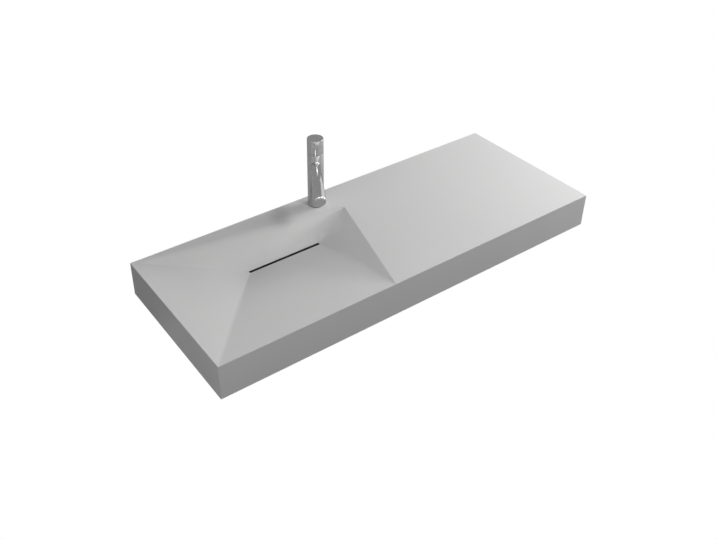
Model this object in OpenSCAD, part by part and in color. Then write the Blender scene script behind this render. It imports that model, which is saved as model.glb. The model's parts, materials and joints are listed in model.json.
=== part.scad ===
// Wall-hung slab basin with a folded bowl, a slot drain and a pillar mixer.
// X runs along the wall, Y points into the wall and Z points up.
// The origin is the middle of the four wall fixings, on the wall's face.

/* [Slab] */
// Length of the slab along the wall
slab_w = 1200; // [1100:10:1400]
// Depth of the slab from the wall to its front
slab_d = 460; // [440:5:500]
// Height of the slab
slab_h = 100; // [98:1:120]
// Thickness of the solid-surface sheet
sheet_t = 12; // [10:0.5:14]
// Height of the deck above the middle of the wall fixings
deck_rise = 56; // [54:1:60]

/* [Bowl] */
// Depth from the deck to the lips of the slot
bowl_depth = 65; // [50:1:66]
// Left end of the slab to the top of the ridge, at the back
ridge_back_x = 600; // [570:5:660]
// Wall to the top of the ridge, at the back
ridge_back_y = 105; // [95:1:115]
// Left end of the slab to the foot of the ridge, at the front edge
ridge_front_x = 500; // [470:5:560]
// Left end of the slab to the slot
slot_x = 269; // [255:1:290]
// Wall to the middle of the slot
slot_y = 135; // [130:1:145]
// Length of the slot
slot_len = 224; // [200:1:230]
// Width of the slot
slot_w = 8; // [6:0.5:10]
// Thickness of the bowl's floor at the slot
floor_t = 12; // [10:0.5:14]

/* [Trough and waste] */
// Wall of the drain trough
trough_wall = 8; // [6:0.5:10]
// Width inside the drain trough
trough_inner_w = 68; // [66:1:76]
// Gap from the trough's underside up from the slab's lower edge
trough_lift = 2; // [1:0.5:4]
// Diameter of the waste's threaded tail
tail_d = 41.9; // [41:0.1:42]
// Bore of the waste's tail
tail_bore = 36; // [32:0.5:37]
// Length of the tail below the trough
tail_len = 68; // [50:1:90]
// Diameter of the waste's flange
flange_d = 62; // [58:1:64]

/* [Wall brackets] */
// End of the slab to the middle of a wall bracket
bracket_in = 120; // [110:5:150]
// Distance between the two holes in a wall plate
hole_pitch = 40; // [38:1:44]
// Diameter of the holes in a wall plate
hole_d = 11; // [9:0.5:12]
// Width of a wall plate
plate_w = 60; // [50:1:70]
// Height of a wall plate
plate_h = 76; // [70:1:80]
// Front of the slab to the end of a bracket's arm
arm_back = 75; // [60:5:120]
// Thickness of the bracket steel
steel_t = 5; // [4:0.5:6]

/* [Mixer] */
// Left end of the slab to the mixer
mixer_x = 544; // [530:1:560]
// Wall to the middle of the mixer
mixer_y = 46; // [44:1:50]
// Diameter of the mixer's column
column_d = 45; // [43:0.5:48]
// Height of the mixer above the deck
column_h = 210; // [190:1:240]
// Turn of the spout from straight ahead towards the bowl
spout_turn = 30.5; // [20:0.5:45]
// Reach of the spout from the column's middle to its tip
spout_reach = 175; // [140:1:190]
// Diameter of the spout's tip
spout_tip_d = 33; // [28:0.5:34]
// Fall of the spout below level
spout_fall = 7.5; // [5:0.5:14]

/* [Hidden] */
$fn = 96;

// Gap between pieces that are bonded or seated one in the other
seat_gap = 0.1;
// Radial clearance of a turning shaft
shaft_gap = 0.05;
// How far a cut runs past the face that it opens
overrun = 1;

// Levels and ends of the slab
deck_z = deck_rise;
sheet_z = deck_z - sheet_t;
slab_z = deck_z - slab_h;
left_x = -slab_w / 2;
right_x = slab_w / 2;

// Bowl, from the slab's left end and the wall
slot_left = left_x + slot_x;
slot_right = slot_left + slot_len;
ridge_back = [left_x + ridge_back_x, -ridge_back_y];
ridge_front = [left_x + ridge_front_x, -slab_d];
slot_z = deck_z - bowl_depth;
floor_z = slot_z - floor_t;
// Where each side of a level has its points: near its corners, and along it where it is warped
corner_shares = [0, 0.04, 0.08];
back_shares = [0.25, 0.5, 0.75];
// Levels of the bowl, as shares of its depth
level_shares = [0, 0.1, 0.35, 0.65, 0.9, 1];

// Drain trough under the slot
trough_inner_len = slot_len + 2 * floor_t;
trough_z = slab_z + trough_lift;
trough_floor = trough_z + trough_wall;
waste_x = (slot_left + slot_right) / 2;
trough_clear = 0.2;

// Waste fitting
flange_t = 3;
top_seal_t = 1.5;
top_seal_w = 6;
grid_bar = 3;
cone_seal_d = 56;
cone_seal_t = 8;
slip_washer_d = 58;
slip_washer_t = 1.5;
backnut_af = 58;
backnut_t = 10;
tail_groove_w = 2;
tail_groove_t = 1;

// Wall brackets and what holds the slab on them
bracket_pitch = slab_w - 2 * bracket_in;
arm_len = slab_d - arm_back;
arm_w = 40;
arm_z = 0;
web_tip_h = 15;
screw_near_y = 110;
screw_tip = 15;
screw_far_y = arm_len - screw_tip;
screw_d = 6;
screw_hole_d = 7;
insert_d = 10;
insert_len = 9;
screw_head_d = 10;
screw_face_d = 6.5;
screw_head_h = 4;
screw_key_af = 4;
screw_key_h = 2.5;
washer_d = 16;
washer_t = 1.6;
plate_clear = 2;

// Ribs under the deck
rib_t = 18;
rib_start_y = 60;
middle_rib_x = 690;
middle_rib_h = 40;

// Mixer column, from the deck up
mixer = [left_x + mixer_x, -mixer_y];
gasket_t = 1.5;
base_chamfer = 1;
joint_gap = 0.5;
handle_h = 44;
handle_edge = 1.5;
column_base = deck_z + gasket_t;
column_top = deck_z + column_h;
handle_z = column_top - handle_h;
body_top = handle_z - joint_gap;
tap_hole_d = 35;

// Cartridge and what holds and turns it
cartridge_d = 35;
cartridge_h = 24;
neck_d = 24;
neck_h = 12;
cartridge_nut_d = 39;
cartridge_nut_h = 9;
chamber_z = body_top - cartridge_h - cartridge_nut_h;
stem_d = 10;
stem_in = 14;
stem_key = 7;
stem_key_len = 12;
handle_wall = 3;
handle_top_t = 6;
handle_boss_d = 16;
handle_screw_d = 5;
handle_screw_len = 8;

// Spout and aerator
spout_root_d = 22;
spout_rise = 140;
spout_z = deck_z + spout_rise;
spout_edge = 4;
aerator_back = 18;
aerator_d = 24;
aerator_h = 12;
aerator_wall = 2;
waterway_d = 14;

// Mixer fixing below the deck
stud_y = 11;
stud_d = 8;
stud_in = 14;
stud_out = 58;
horseshoe_d = 50;
horseshoe_hole_d = 8.4;
horseshoe_slot = 29;
horseshoe_slot_y = 10;
rubber_t = 3;
horseshoe_t = 2.5;
stud_nut_af = 13;
stud_nut_t = 6.5;
inlet_x = 8;
inlet_y = -5;
inlet_d = 9;
inlet_len = 16;
bush_d = 12;
bush_room = 18;
inlet_way_d = 8;

sheet_color = [0.93, 0.93, 0.92];
chrome_color = [0.75, 0.76, 0.78];
steel_color = [0.55, 0.57, 0.60];
brass_color = [0.80, 0.66, 0.35];
rubber_color = [0.12, 0.12, 0.13];
plastic_color = [0.85, 0.86, 0.88];

// Shared shapes

// A block between two corners
module block(low, high) {
    translate(low)
        cube(high - low);
}

// A ring standing on z = 0
module ring(outer_d, inner_d, height) {
    difference() {
        cylinder(h = height, d = outer_d);
        translate([0, 0, -overrun])
            cylinder(h = height + 2 * overrun, d = inner_d);
    }
}

// A hexagon standing on z = 0, by its size across flats
module hexagon(across_flats, height) {
    cylinder(h = height, d = across_flats / cos(30), $fn = 6);
}

// Bowl surface

// The rim on the deck and the lips of the slot, corner by corner
rim = [[left_x, 0], ridge_back, ridge_front, [left_x, -slab_d]];
lips = [[slot_left, -slot_y + slot_w / 2], [slot_right, -slot_y + slot_w / 2],
        [slot_right, -slot_y - slot_w / 2], [slot_left, -slot_y - slot_w / 2]];

// A corner of the bowl at a share of its depth
function bowl_corner(i, share) = let (p = rim[i % 4] * (1 - share) + lips[i % 4] * share)
    [p[0], p[1], deck_z - share * bowl_depth];

// The points before and after a corner lie on its sides at the rim and at the slot, where the
// valley is sharp, and leave the corner for a curve between them, where the valley is soft
function side_point(corner, before, after, t, soft) = let (reach = soft * max(corner_shares))
    abs(t) >= reach ? corner + (t < 0 ? before : after) * abs(t) :
    corner + before * pow(reach - t, 2) / (4 * reach) + after * pow(reach + t, 2) / (4 * reach);

// The points round one corner and on to the next, at a share of the depth
function corner_points(i, share) =
    let (p = bowl_corner(i, share), soft = 4 * share * (1 - share), last = len(corner_shares) - 1,
         before = bowl_corner(i + 3, share) - p, after = bowl_corner(i + 1, share) - p)
    concat([for (k = [last:-1:1]) side_point(p, before, after, -corner_shares[k], soft)],
           [for (t = corner_shares) side_point(p, before, after, t, soft)],
           [for (t = i == 0 ? back_shares : []) p + after * t]);

function bowl_level(share) = [for (i = [0:3]) each corner_points(i, share)];

// The mean of a level's four corners
function bowl_middle(share) = (bowl_corner(0, share) + bowl_corner(1, share)
                             + bowl_corner(2, share) + bowl_corner(3, share)) / 4;

// The space of the bowl, as a loft from the rim to the slot, with a straight wall above the deck
module bowl_space() {
    levels = [for (share = level_shares) bowl_level(share)];
    lid = [for (p = levels[0]) p + [0, 0, overrun]];
    count = len(lid);
    last = len(levels) * count;
    top = last + count;
    points = concat(lid, [for (one = levels) each one], [bowl_middle(0) + [0, 0, overrun], bowl_middle(1)]);
    sides = [for (r = [0:len(levels) - 1], i = [0:count - 1])
        let (a = r * count + i, b = r * count + (i + 1) % count)
        each [[a, a + count, b], [b, a + count, b + count]]];
    caps = [for (i = [0:count - 1]) let (next = (i + 1) % count)
        each [[i, next, top], [last + next, last + i, top + 1]]];
    polyhedron(points, concat(sides, caps), convexity = 4);
}

// The bowl's underside: the same folds, a sheet's thickness outside them
module bowl_underside() {
    hull() {
        translate([0, 0, sheet_z])
            linear_extrude(sheet_t / 2)
                polygon([rim[0], ridge_back + [sheet_t, sheet_t], ridge_front + [sheet_t, 0], rim[3]]);
        block([slot_left - floor_t, -slot_y - slot_w / 2 - floor_t, floor_z],
              [slot_right + floor_t, -slot_y + slot_w / 2 + floor_t, slot_z]);
    }
}

// The space between the aprons, the rear rail and the deck
module inner_space() {
    block([left_x + sheet_t, -slab_d + sheet_t, slab_z], [right_x - sheet_t, -sheet_t, sheet_z]);
}

// Slab

module top_panel() {
    color(sheet_color)
    difference() {
        union() {
            block([left_x, -slab_d, sheet_z], [right_x, 0, deck_z]);
            intersection() {
                bowl_underside();
                inner_space();
            }
        }
        bowl_space();
        block([slot_left, -slot_y - slot_w / 2, floor_z - overrun],
              [slot_right, -slot_y + slot_w / 2, slot_z + overrun]);
        translate([mixer[0], mixer[1], sheet_z - overrun])
            cylinder(h = sheet_t + 2 * overrun, d = tap_hole_d);
    }
}

module front_apron() {
    color(sheet_color)
        block([left_x, -slab_d, slab_z], [right_x, -slab_d + sheet_t, sheet_z]);
}

module side_apron(x) {
    color(sheet_color)
        block([x, -slab_d + sheet_t, slab_z], [x + sheet_t, 0, sheet_z]);
}

module left_apron() {
    side_apron(left_x);
}

module right_apron() {
    side_apron(right_x - sheet_t);
}

// The rear rail has a notch for each wall plate
module rear_rail() {
    notch = plate_w + 2 * plate_clear;
    color(sheet_color)
    difference() {
        block([left_x + sheet_t, -sheet_t, slab_z], [right_x - sheet_t, 0, sheet_z]);
        for (x = [-1, 1] * bracket_pitch / 2)
            block([x - notch / 2, -sheet_t - overrun, slab_z - overrun],
                  [x + notch / 2, overrun, plate_h / 2 + plate_clear]);
    }
}

// Ribs and their inserts

module insert_places(x) {
    for (y = [-screw_near_y, -screw_far_y])
        translate([x, y, arm_z])
            children();
}

// A rib that rests on a bracket's arm and carries the deck or the bowl
module bracket_rib(x) {
    color(sheet_color)
    difference() {
        block([x - rib_t / 2, -slab_d + sheet_t, arm_z], [x + rib_t / 2, -rib_start_y, sheet_z]);
        bowl_underside();
        insert_places(x)
            translate([0, 0, -overrun])
                cylinder(h = insert_len + seat_gap + overrun, d = insert_d + 2 * seat_gap);
    }
}

module left_rib() {
    bracket_rib(-bracket_pitch / 2);
}

module right_rib() {
    bracket_rib(bracket_pitch / 2);
}

module middle_rib() {
    x = left_x + middle_rib_x;
    color(sheet_color)
        block([x - rib_t / 2, -slab_d + sheet_t, sheet_z - middle_rib_h],
              [x + rib_t / 2, -sheet_t, sheet_z]);
}

module rib_inserts() {
    color(brass_color)
    for (x = [-1, 1] * bracket_pitch / 2)
        insert_places(x)
            difference() {
                cylinder(h = insert_len, d = insert_d);
                translate([0, 0, -overrun])
                    cylinder(h = insert_len + 2 * overrun, d = screw_d + 2 * shaft_gap);
            }
}

// Drain trough and waste

module drain_trough() {
    color(sheet_color)
    difference() {
        translate([waste_x, -slot_y, 0])
            block([-trough_inner_len / 2 - trough_wall, -trough_inner_w / 2 - trough_wall, trough_z],
                  [trough_inner_len / 2 + trough_wall, trough_inner_w / 2 + trough_wall, sheet_z]);
        translate([waste_x, -slot_y, 0])
            block([-trough_inner_len / 2, -trough_inner_w / 2, trough_floor],
                  [trough_inner_len / 2, trough_inner_w / 2, sheet_z + overrun]);
        bowl_underside();
        translate([waste_x, -slot_y, trough_z - overrun])
            cylinder(h = trough_wall + 2 * overrun, d = tail_d + 2 * trough_clear);
    }
}

// Moves what it holds to the middle of the waste, at a height
module at_waste(z) {
    translate([waste_x, -slot_y, z])
        children();
}

// Flange, threaded tail with a groove under the backnut, and the cross that keeps things out of it
module waste_body() {
    tail_z = trough_z - tail_len;
    seat_z = trough_floor + top_seal_t;
    groove_z = trough_z - cone_seal_t - slip_washer_t - backnut_t - tail_groove_w;
    color(chrome_color)
    at_waste(0) {
        difference() {
            union() {
                translate([0, 0, tail_z])
                    cylinder(h = seat_z - tail_z, d = tail_d);
                translate([0, 0, seat_z])
                    cylinder(h = flange_t, d = flange_d);
            }
            translate([0, 0, tail_z - overrun])
                cylinder(h = seat_z + flange_t - tail_z + 2 * overrun, d = tail_bore);
            translate([0, 0, groove_z])
                ring(tail_d + 2 * overrun, tail_d - 2 * tail_groove_t, tail_groove_w);
        }
        for (turn = [0, 90])
            rotate(turn)
                translate([-tail_bore / 2 - grid_bar / 2, -grid_bar / 2, seat_z])
                    cube([tail_bore + grid_bar, grid_bar, flange_t]);
    }
}

module waste_top_seal() {
    color(rubber_color)
        at_waste(trough_floor)
            ring(tail_d + 2 * top_seal_w, tail_d + 2 * trough_clear, top_seal_t);
}

// A cone that squeezes up round the tail
module waste_cone_seal() {
    lower = tail_d + 2 * top_seal_w;
    color(rubber_color)
        at_waste(trough_z - cone_seal_t)
            difference() {
                cylinder(h = cone_seal_t, d1 = lower, d2 = cone_seal_d);
                translate([0, 0, -overrun])
                    cylinder(h = cone_seal_t + 2 * overrun, d = tail_d + 2 * trough_clear);
            }
}

module waste_slip_washer() {
    color(plastic_color)
        at_waste(trough_z - cone_seal_t - slip_washer_t)
            ring(slip_washer_d, tail_d + 2 * trough_clear, slip_washer_t);
}

module waste_backnut() {
    color(brass_color)
        at_waste(trough_z - cone_seal_t - slip_washer_t - backnut_t)
            difference() {
                hexagon(backnut_af, backnut_t);
                translate([0, 0, -overrun])
                    cylinder(h = backnut_t + 2 * overrun, d = tail_d + 2 * seat_gap);
            }
}

// Wall brackets

// Wall plate, arm and tapered web; the web stands on the side named by side, -1 or 1
module bracket(x, side) {
    web_x = side < 0 ? -arm_w / 2 : arm_w / 2 - steel_t;
    color(steel_color)
    translate([x, 0, 0])
    difference() {
        union() {
            block([-plate_w / 2, -steel_t, -plate_h / 2], [plate_w / 2, 0, plate_h / 2]);
            block([-arm_w / 2, -arm_len, arm_z - steel_t], [arm_w / 2, -steel_t, arm_z]);
            translate([web_x, 0, 0])
                rotate([90, 0, 90])
                    linear_extrude(steel_t)
                        polygon([[-steel_t, arm_z - steel_t], [-steel_t, -plate_h / 2],
                                 [-arm_len, arm_z - steel_t - web_tip_h], [-arm_len, arm_z - steel_t]]);
        }
        for (z = [-1, 1] * hole_pitch / 2)
            translate([0, overrun, z])
                rotate([90, 0, 0])
                    cylinder(h = steel_t + 2 * overrun, d = hole_d);
        for (y = [-screw_near_y, -screw_far_y])
            translate([0, y, arm_z - steel_t - overrun])
                cylinder(h = steel_t + 2 * overrun, d = screw_hole_d);
    }
}

module left_bracket() {
    bracket(-bracket_pitch / 2, -1);
}

module right_bracket() {
    bracket(bracket_pitch / 2, 1);
}

// Button-head screws from below, through washer and arm into the rib inserts
module bracket_screws() {
    color(steel_color)
    for (x = [-1, 1] * bracket_pitch / 2)
        insert_places(x)
            translate([0, 0, -steel_t - washer_t]) {
                cylinder(h = steel_t + washer_t + insert_len - seat_gap, d = screw_d);
                translate([0, 0, -screw_head_h])
                    difference() {
                        cylinder(h = screw_head_h, d1 = screw_face_d, d2 = screw_head_d);
                        translate([0, 0, -overrun])
                            hexagon(screw_key_af, screw_key_h + overrun);
                    }
            }
}

module bracket_washers() {
    color(steel_color)
    for (x = [-1, 1] * bracket_pitch / 2)
        insert_places(x)
            translate([0, 0, -steel_t - washer_t])
                ring(washer_d, screw_hole_d, washer_t);
}

// Mixer

// Moves what it holds to the mixer's middle, at a height
module at_mixer(z) {
    translate([mixer[0], mixer[1], z])
        children();
}

// Turns a thing drawn along -Y to the spout's direction
module spout_way() {
    rotate(-spout_turn)
        children();
}

// The spout's outline on its own axis: root, flare and a rounded tip
module spout_solid() {
    rotate([90 + spout_fall, 0, 0])
        rotate_extrude()
            polygon(concat([[0, 0], [spout_root_d / 2, 0]],
                           [for (a = [0:15:90]) [spout_tip_d / 2 - spout_edge + spout_edge * cos(a),
                                                 spout_reach - spout_edge + spout_edge * sin(a)]],
                           [[0, spout_reach]]));
}

// Height of the spout's axis at a distance from the column
function spout_axis_z(reach) = spout_z - reach * tan(spout_fall);

// The way of the water along the spout's axis, from the chamber to the aerator
module waterway() {
    at_mixer(spout_z)
        spout_way()
            rotate([90 + spout_fall, 0, 0])
                cylinder(h = spout_reach - aerator_back, d = waterway_d);
}

// The column is turned from bar: a chamber at the top and ports for stud and hoses at the foot
module mixer_column() {
    color(chrome_color)
    difference() {
        at_mixer(0)
            rotate_extrude()
                polygon([[0, column_base], [column_d / 2 - base_chamfer, column_base],
                         [column_d / 2, column_base + base_chamfer], [column_d / 2, body_top],
                         [0, body_top]]);
        at_mixer(chamber_z)
            cylinder(h = cartridge_h + cartridge_nut_h, d = cartridge_d + 2 * seat_gap);
        at_mixer(body_top - cartridge_nut_h)
            cylinder(h = cartridge_nut_h + overrun, d = cartridge_nut_d + 2 * seat_gap);
        waterway();
        at_mixer(column_base - overrun) {
            translate([0, stud_y, 0])
                cylinder(h = stud_in + seat_gap + overrun, d = stud_d + 2 * seat_gap);
            for (side = [-1, 1])
                translate([side * inlet_x, inlet_y, 0]) {
                    cylinder(h = inlet_len + bush_room + overrun, d = bush_d + 2 * seat_gap);
                    cylinder(h = chamber_z - column_base + 2 * overrun, d = inlet_way_d);
                }
        }
    }
}

// The spout is cut to a saddle that is brazed on the column
module spout() {
    color(chrome_color)
    difference() {
        at_mixer(spout_z)
            spout_way()
                spout_solid();
        at_mixer(column_base)
            cylinder(h = body_top - column_base, d = column_d);
        waterway();
        aerator_place()
            translate([0, 0, -overrun])
                cylinder(h = aerator_h + overrun, d = aerator_d + 2 * seat_gap);
    }
}

// A threaded bush in the column's foot, which takes the end of one hose
module hose_bush(side) {
    color(brass_color)
        at_mixer(column_base)
            translate([side * inlet_x, inlet_y, 0])
                ring(bush_d, inlet_d, inlet_len);
}

module hot_bush() {
    hose_bush(-1);
}

module cold_bush() {
    hose_bush(1);
}

module base_gasket() {
    color(rubber_color)
        at_mixer(deck_z)
            ring(column_d - 2 * base_chamfer, tap_hole_d, gasket_t);
}

module cartridge() {
    color(plastic_color)
        at_mixer(chamber_z)
            difference() {
                union() {
                    cylinder(h = cartridge_h, d = cartridge_d);
                    cylinder(h = cartridge_h + neck_h, d = neck_d);
                }
                translate([0, 0, cartridge_h + neck_h - stem_in])
                    cylinder(h = stem_in + overrun, d = stem_d + 2 * shaft_gap);
            }
}

module cartridge_nut() {
    color(brass_color)
        at_mixer(chamber_z + cartridge_h)
            ring(cartridge_nut_d, neck_d + 2 * seat_gap, cartridge_nut_h);
}

// The stem is round in the cartridge and square in the handle
module cartridge_stem() {
    neck_top = chamber_z + cartridge_h + neck_h;
    color(brass_color)
    at_mixer(neck_top) {
        translate([0, 0, seat_gap - stem_in])
            cylinder(h = stem_in, d = stem_d);
        translate([-stem_key / 2, -stem_key / 2, seat_gap])
            cube([stem_key, stem_key, stem_key_len]);
    }
}

module handle_cap() {
    neck_top = chamber_z + cartridge_h + neck_h;
    socket_z = neck_top + joint_gap;
    inner_d = column_d - 2 * handle_wall;
    color(chrome_color)
    at_mixer(0)
    difference() {
        union() {
            difference() {
                rotate_extrude()
                    polygon(concat([[0, handle_z], [column_d / 2, handle_z]],
                                   [for (a = [0:15:90]) [column_d / 2 - handle_edge + handle_edge * cos(a),
                                                         column_top - handle_edge + handle_edge * sin(a)]],
                                   [[0, column_top]]));
                translate([0, 0, handle_z - overrun])
                    cylinder(h = handle_h - handle_top_t + overrun, d = inner_d);
            }
            translate([0, 0, socket_z])
                cylinder(h = column_top - handle_top_t - socket_z + overrun, d = handle_boss_d);
        }
        translate([-stem_key / 2 - seat_gap, -stem_key / 2 - seat_gap, socket_z - overrun])
            cube([stem_key + 2 * seat_gap, stem_key + 2 * seat_gap, stem_key_len + overrun]);
        handle_screw_place()
            cylinder(h = column_d / 2, d = handle_screw_d + 2 * seat_gap);
    }
}

// The grub screw comes in from the back and bears on the square of the stem
module handle_screw_place() {
    neck_top = chamber_z + cartridge_h + neck_h;
    translate([0, 0, neck_top + stem_key_len / 2])
        rotate([-90, 0, 0])
            translate([0, 0, stem_key / 2 + seat_gap])
                children();
}

module handle_screw() {
    color(steel_color)
        at_mixer(0)
            handle_screw_place()
                cylinder(h = handle_screw_len, d = handle_screw_d);
}

module aerator_place() {
    aerator_reach = spout_reach - aerator_back;
    at_mixer(spout_axis_z(aerator_reach) - spout_tip_d / 2)
        spout_way()
            translate([0, -aerator_reach, 0])
                children();
}

module aerator_housing() {
    color(chrome_color)
        aerator_place()
            ring(aerator_d, aerator_d - 2 * aerator_wall, aerator_h - seat_gap);
}

// A perforated disc and the screen body over it
module aerator_insert() {
    insert_r = aerator_d / 2 - aerator_wall - seat_gap;
    color(plastic_color)
        aerator_place()
            translate([0, 0, aerator_wall])
                difference() {
                    cylinder(h = aerator_h - 2 * aerator_wall, r = insert_r);
                    for (turn = [0:45:315])
                        rotate(turn)
                            translate([insert_r * 2 / 3, 0, -overrun])
                                cylinder(h = aerator_h, d = aerator_wall, $fn = 24);
                }
}

// Mixer fixing

module mounting_stud() {
    color(brass_color)
        at_mixer(column_base - stud_out)
            translate([0, stud_y, 0])
                cylinder(h = stud_in + stud_out, d = stud_d);
}

module horseshoe(thickness) {
    difference() {
        cylinder(h = thickness, d = horseshoe_d);
        translate([0, stud_y, -overrun])
            cylinder(h = thickness + 2 * overrun, d = horseshoe_hole_d);
        translate([0, -horseshoe_slot_y, -overrun])
            cylinder(h = thickness + 2 * overrun, d = horseshoe_slot);
        block([-horseshoe_slot / 2, -horseshoe_d, -overrun],
              [horseshoe_slot / 2, -horseshoe_slot_y, thickness + overrun]);
    }
}

module rubber_horseshoe() {
    color(rubber_color)
        at_mixer(sheet_z - rubber_t)
            horseshoe(rubber_t);
}

module steel_horseshoe() {
    color(steel_color)
        at_mixer(sheet_z - rubber_t - horseshoe_t)
            horseshoe(horseshoe_t);
}

module stud_nut() {
    color(brass_color)
        at_mixer(sheet_z - rubber_t - horseshoe_t - stud_nut_t)
            translate([0, stud_y, 0])
                difference() {
                    hexagon(stud_nut_af, stud_nut_t);
                    translate([0, 0, -overrun])
                        cylinder(h = stud_nut_t + 2 * overrun, d = stud_d + 2 * seat_gap);
                }
}

top_panel();
front_apron();
left_apron();
right_apron();
rear_rail();
left_rib();
middle_rib();
right_rib();
drain_trough();
waste_body();
waste_top_seal();
waste_cone_seal();
waste_slip_washer();
waste_backnut();
left_bracket();
right_bracket();
rib_inserts();
bracket_screws();
bracket_washers();
mixer_column();
spout();
hot_bush();
cold_bush();
base_gasket();
cartridge();
cartridge_nut();
cartridge_stem();
handle_cap();
handle_screw();
aerator_housing();
aerator_insert();
mounting_stud();
rubber_horseshoe();
steel_horseshoe();
stud_nut();
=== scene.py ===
# %% [markdown]
# # A wall-hung slab basin with a folded bowl
#
# The real object is a slab of white solid surface, 1200 mm long, that hangs on a wall. At its left the deck
# folds down into a bowl of four slopes that meet at a narrow slot. A pillar mixer stands behind the bowl.
#
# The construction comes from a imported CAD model, which is loaded here as a fixed frame. This script gives it
# its looks: it replaces the slab, the mixer, the sieve and the threaded pieces with finer meshes in the same
# places, and gives every other node a material. All lengths are in metres, in the frame of the CAD model.

# %% Load the frame
import json
import math
import bpy
import bmesh
import numpy as np
from mathutils import Matrix, Vector

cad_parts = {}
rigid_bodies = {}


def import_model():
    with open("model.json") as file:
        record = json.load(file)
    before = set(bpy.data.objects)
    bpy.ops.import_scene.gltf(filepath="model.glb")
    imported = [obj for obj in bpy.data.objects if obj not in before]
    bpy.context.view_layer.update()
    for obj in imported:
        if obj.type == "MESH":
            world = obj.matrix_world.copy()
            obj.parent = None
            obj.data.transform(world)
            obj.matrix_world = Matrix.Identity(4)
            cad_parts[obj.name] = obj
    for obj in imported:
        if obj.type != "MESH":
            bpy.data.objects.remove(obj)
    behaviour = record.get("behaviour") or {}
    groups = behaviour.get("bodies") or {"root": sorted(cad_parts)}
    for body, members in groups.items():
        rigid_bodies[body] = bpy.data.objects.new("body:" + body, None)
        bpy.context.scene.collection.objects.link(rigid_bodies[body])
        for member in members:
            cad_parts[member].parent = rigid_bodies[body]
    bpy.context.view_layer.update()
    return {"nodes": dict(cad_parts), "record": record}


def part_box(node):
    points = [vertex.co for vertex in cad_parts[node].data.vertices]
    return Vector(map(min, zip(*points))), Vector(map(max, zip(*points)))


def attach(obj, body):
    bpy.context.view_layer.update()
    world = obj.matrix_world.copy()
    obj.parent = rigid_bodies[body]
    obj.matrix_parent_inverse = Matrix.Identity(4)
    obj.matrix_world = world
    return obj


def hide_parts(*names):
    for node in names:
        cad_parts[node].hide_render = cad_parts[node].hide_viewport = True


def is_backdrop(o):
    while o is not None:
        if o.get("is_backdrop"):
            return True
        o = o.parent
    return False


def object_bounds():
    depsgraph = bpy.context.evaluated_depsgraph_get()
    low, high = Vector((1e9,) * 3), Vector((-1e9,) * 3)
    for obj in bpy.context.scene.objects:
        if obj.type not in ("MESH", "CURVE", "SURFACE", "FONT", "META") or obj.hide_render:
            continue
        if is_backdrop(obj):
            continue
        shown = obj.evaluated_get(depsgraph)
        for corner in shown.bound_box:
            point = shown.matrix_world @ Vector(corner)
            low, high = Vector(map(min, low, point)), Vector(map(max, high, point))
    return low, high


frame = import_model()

nodes = frame["nodes"]

# %% [markdown]
# ## Sizes
#
# The sizes of the visible pieces are read from the boxes of the CAD nodes, so that the two models can't
# drift apart. The folds of the bowl can't be read from a box, so their corners are written here once, as
# they are in the construction: the rim on the deck, and the lips of the slot.

# %% Sizes of the slab and the bowl
panel_low, panel_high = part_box("top_panel")
apron_low, apron_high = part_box("front_apron")
LEFT, RIGHT = panel_low.x, panel_high.x
FRONT, BACK = panel_low.y, panel_high.y
DECK, SLAB_FOOT = panel_high.z, apron_low.z
SHEET = DECK - apron_high.z
BOWL_DEPTH = 0.065
FLOOR = DECK - BOWL_DEPTH - SHEET
RIM = [Vector((LEFT, BACK, 0)), Vector((0.0, -0.105, 0)), Vector((-0.1, FRONT, 0)), Vector((LEFT, FRONT, 0))]
LIPS = [Vector((-0.331, -0.131, 0)), Vector((-0.107, -0.131, 0)),
        Vector((-0.107, -0.139, 0)), Vector((-0.331, -0.139, 0))]
LIP = DECK - BOWL_DEPTH
SLOT_MIDDLE = (LIPS[0] + LIPS[2]) / 2
print(f"deck at {DECK:.3f}, foot at {SLAB_FOOT:.3f}, sheet {SHEET:.3f}, floor of the bowl {FLOOR:.3f}")


# %% [markdown]
# ## Camera
#
# The camera comes first, because everything is judged through it. Its place, turn and focal length were
# found from the corners of the slab in the photograph. The picture was cropped off centre: the point
# straight ahead of the lens isn't its middle, and a small shift of the camera says so.

# %% Camera
def look(azimuth, elevation):
    """The direction from the object to a viewer."""
    a, e = math.radians(azimuth), math.radians(elevation)
    return Vector((math.sin(a) * math.cos(e), -math.cos(a) * math.cos(e), math.sin(e)))


# In pixels of the photograph: its width, middle, focal length and the point straight ahead of the lens
PHOTO_WIDTH, PHOTO_MIDDLE, FOCAL_LENGTH, AHEAD = 716, (358, 270), 856.2, (332.6, 200)
SENSOR = 36
camera = bpy.data.objects.new("camera", bpy.data.cameras.new("camera"))
bpy.context.scene.collection.objects.link(camera)
bpy.context.scene.camera = camera
camera.location = (-1.1897, -1.722, 1.3236 + DECK)
camera.rotation_mode = "QUATERNION"
camera.rotation_quaternion = (-look(-35.41, 32.96)).to_track_quat("-Z", "Y")
camera.data.sensor_width = SENSOR
camera.data.lens = FOCAL_LENGTH * SENSOR / PHOTO_WIDTH
camera.data.shift_x = (PHOTO_MIDDLE[0] - AHEAD[0]) / PHOTO_WIDTH
camera.data.shift_y = (AHEAD[1] - PHOTO_MIDDLE[1]) / PHOTO_WIDTH
print("camera at", [round(v, 3) for v in camera.location], "lens", round(camera.data.lens, 2))


# %% [markdown]
# ## Shader maths
#
# Materials are written as expressions. `Socket` wraps an output of a node and overloads the operators, so
# that `0.5 + 0.1 * noise` adds the Math nodes it needs. The nodes could be made and linked one by one, but
# an expression is shorter, and it reads as what it works out.

# %% A class for sockets
def operator(operation, flip=False):
    return lambda self, *others: self.maths(operation, *others, flip=flip)


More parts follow.
